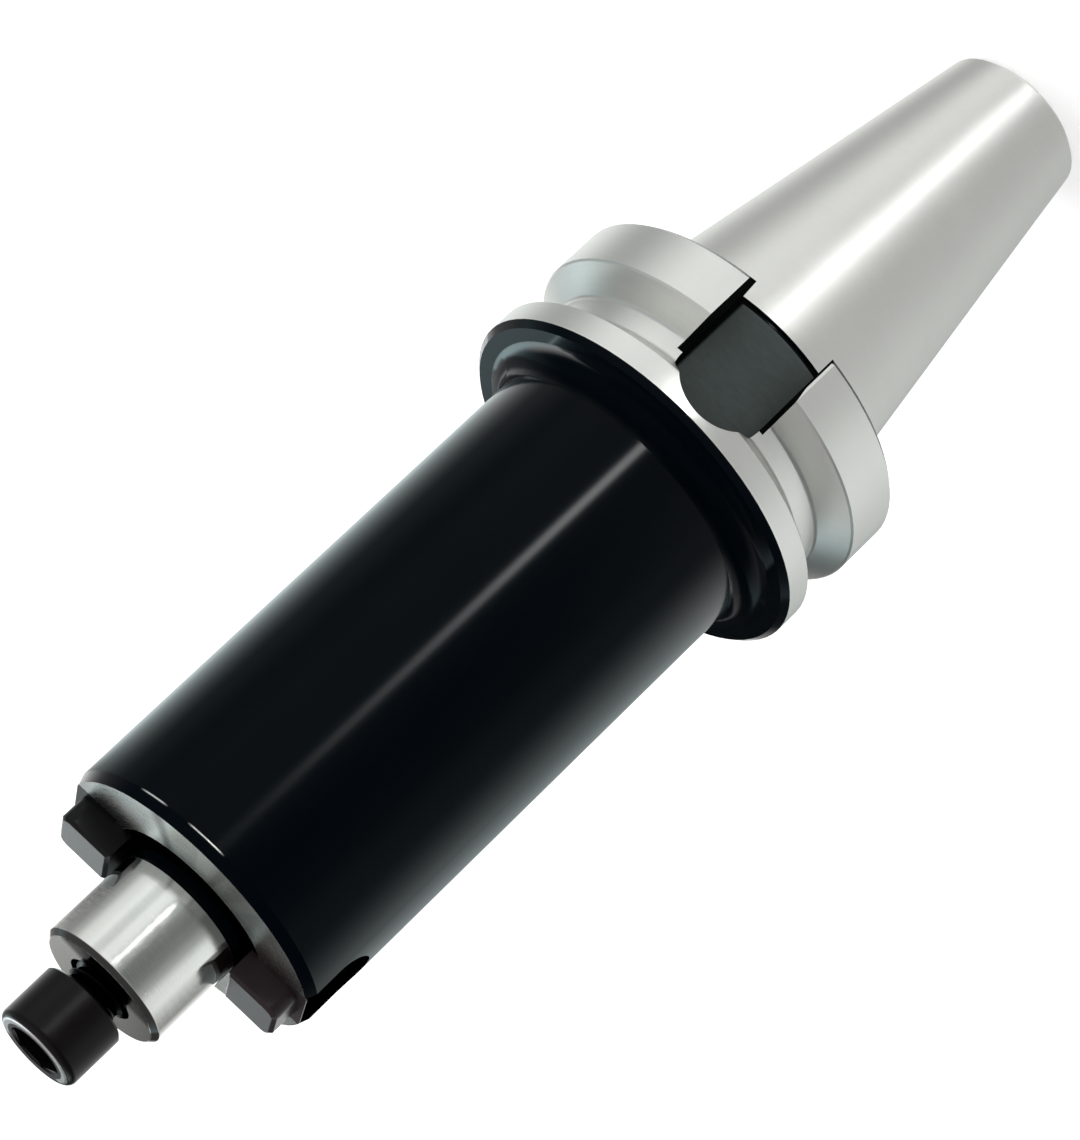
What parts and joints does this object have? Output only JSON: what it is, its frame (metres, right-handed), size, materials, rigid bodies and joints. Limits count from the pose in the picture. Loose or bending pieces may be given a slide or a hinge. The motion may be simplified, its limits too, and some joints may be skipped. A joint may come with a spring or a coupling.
{
  "type": "shell mill holder",
  "caption": "Steep-taper spindle arbor that carries a shell or face mill on a short pilot, with drive keys and a clamp screw.",
  "frame": {"origin": "centre of the taper's gauge line, where the taper is 44.45 mm in diameter", "axes": "+Z along the holder's axis towards the cutter, +Y towards one of the two drive slots, +X towards the left drive key within 9 degrees"},
  "size_m": [0.063, 0.063, 0.2184],
  "materials": {
    "arbor_body": "ground bright taper, flange rims, seat and pilot; gloss black oxide elsewhere",
    "drive_key_left": "black oxide",
    "drive_key_right": "black oxide",
    "key_screw_left": "black oxide",
    "key_screw_right": "black oxide",
    "clamp_screw": "black oxide"
  },
  "bodies": {
    "holder": {"arbor_body": "arbor_body", "drive_key_left": "drive_key_left", "drive_key_right": "drive_key_right", "key_screw_left": "key_screw_left", "key_screw_right": "key_screw_right"},
    "cutter_clamp": {"clamp_screw": "clamp_screw"}
  },
  "joints": [
    {"name": "clamp_screw_travel", "type": "slide", "parent": "holder", "child": "cutter_clamp", "axis": [0, 0, 1], "range_m": [-0.0029, 0.024]}
  ]
}
